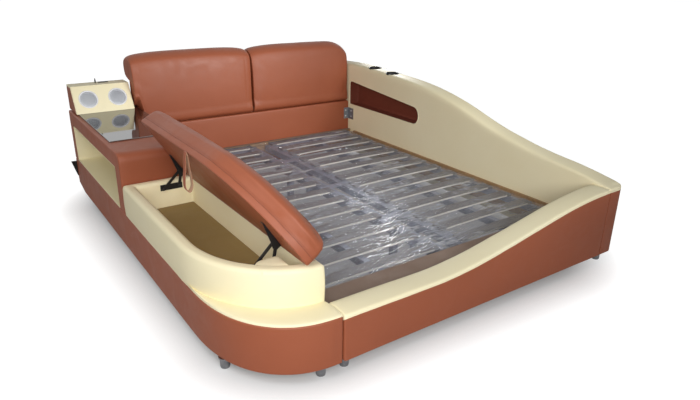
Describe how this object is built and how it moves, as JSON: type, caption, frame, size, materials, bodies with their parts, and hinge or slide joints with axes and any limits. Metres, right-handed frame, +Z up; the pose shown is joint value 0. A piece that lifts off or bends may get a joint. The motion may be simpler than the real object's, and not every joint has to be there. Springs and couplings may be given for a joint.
{
  "type": "upholstered storage bed",
  "caption": "Double bed with a slatted base, two tilting headrests, a side unit with a lift-up lid, shelf and speaker box, and a raised curved wing with a pocket and cup holders.",
  "frame": {"origin": "centre of the bed's bounding box in plan, on the floor", "axes": "+Z up, -Y towards the foot end, +X towards the raised wing, so the side unit lies towards -X"},
  "size_m": [2.01, 2.33, 0.832],
  "materials": {
    "brown_leather": "smooth brown synthetic leather, slight sheen",
    "dark_leather": "dark brown lining",
    "cream_leather": "smooth cream synthetic leather",
    "plywood": "bare board",
    "slat_wood": "pale bent-ply slats",
    "painted_steel": "grey painted tube",
    "zinc_steel": "zinc plated",
    "black_steel": "black painted",
    "black_plastic": "moulded",
    "grey_plastic": "moulded",
    "silver_trim": "silver ring and grey mesh",
    "dark_glass": "polished black glass",
    "dark_chrome": "dark chrome",
    "clear_film": "clear wrinkled film"
  },
  "bodies": {
    "bed": {"plinth_corner_panel": "brown_leather", "plinth_side_panel": "brown_leather", "plinth_rear_panel": "brown_leather", "cabinet_body": "brown_leather", "speaker_body": "brown_leather", "foot_rail_panel": "brown_leather", "wing_outer_panel": "brown_leather", "wing_end_panel": "brown_leather", "headboard_band": "brown_leather", "headboard_core": "brown_leather", "headboard_back_board": "brown_leather", "pocket_liner": "dark_leather", "ledge_pad": "cream_leather", "storage_box": "cream_leather", "lift_cleat": "cream_leather", "shelf_liner": "cream_leather", "speaker_front": "cream_leather", "foot_rail_cap": "cream_leather", "wing_pad": "cream_leather", "plinth_inner_panel": "plywood", "plinth_bottom_board": "plywood", "plinth_deck": "plywood", "storage_floor": "plywood", "bearer_frame": "plywood", "slats_left": "slat_wood", "slats_right": "slat_wood", "slat_frame_left": "painted_steel", "slat_frame_right": "painted_steel", "bracket_left": "zinc_steel", "bracket_right": "zinc_steel", "headrest_rod": "zinc_steel", "lift_base_plate_foot": "black_steel", "lift_base_plate_head": "black_steel", "cup_holder_foot": "black_plastic", "cup_holder_head": "black_plastic", "dock_pin": "black_plastic", "rear_spacer": "black_plastic", "speaker_top": "grey_plastic", "dock_plate": "grey_plastic", "speaker_driver_left": "silver_trim", "speaker_driver_right": "silver_trim", "glass_top": "dark_glass", "foot_unit_front": "dark_chrome", "foot_unit_corner": "dark_chrome", "foot_unit_rear": "dark_chrome", "foot_rail_foot": "dark_chrome", "foot_wing_front": "dark_chrome", "foot_wing_rear": "dark_chrome", "plastic_film": "clear_film"},
    "lid": {"lid_board": "dark_leather", "lid_cushion": "brown_leather", "lift_top_plate_foot": "black_steel", "lift_top_plate_head": "black_steel"},
    "long_arms": {"lift_long_arm_foot": "black_steel", "lift_long_arm_head": "black_steel"},
    "short_arms": {"lift_short_arm_foot": "black_steel", "lift_short_arm_head": "black_steel"},
    "strap": {"lid_pull_strap": "brown_leather"},
    "headrest_left": {"headrest_left": "brown_leather"},
    "headrest_right": {"headrest_right": "brown_leather"}
  },
  "joints": [
    {"name": "lid_lift", "type": "hinge", "parent": "bed", "child": "lid", "pos_m": [-0.6572, -0.48, 0.415], "axis": [0, 1, 0], "range_deg": [-57, 0]},
    {"name": "long_arm_swing", "type": "hinge", "parent": "bed", "child": "long_arms", "pos_m": [-0.80477, -0.48, 0.34118], "axis": [0, 1, 0], "range_deg": [-1, 36.5]},
    {"name": "short_arm_swing", "type": "hinge", "parent": "bed", "child": "short_arms", "pos_m": [-0.727, -0.48, 0.3475], "axis": [0, 1, 0], "range_deg": [-1, 72]},
    {"name": "strap_swing", "type": "hinge", "parent": "lid", "child": "strap", "pos_m": [-0.86844, -0.485, 0.66868], "axis": [0, 1, 0], "range_deg": [-1, 70]},
    {"name": "headrest_left_tilt", "type": "hinge", "parent": "bed", "child": "headrest_left", "pos_m": [-0.25, 0.998, 0.4438], "axis": [1, 0, 0], "range_deg": [0, 35]},
    {"name": "headrest_right_tilt", "type": "hinge", "parent": "bed", "child": "headrest_right", "pos_m": [0.5, 0.998, 0.4438], "axis": [1, 0, 0], "range_deg": [0, 35]}
  ],
  "couplings": [
    {"joint": "long_arm_swing", "follows": "lid_lift", "ratio": -0.62126},
    {"joint": "short_arm_swing", "follows": "lid_lift", "ratio": -1.2374},
    {"joint": "strap_swing", "follows": "lid_lift", "ratio": -1.2}
  ]
}
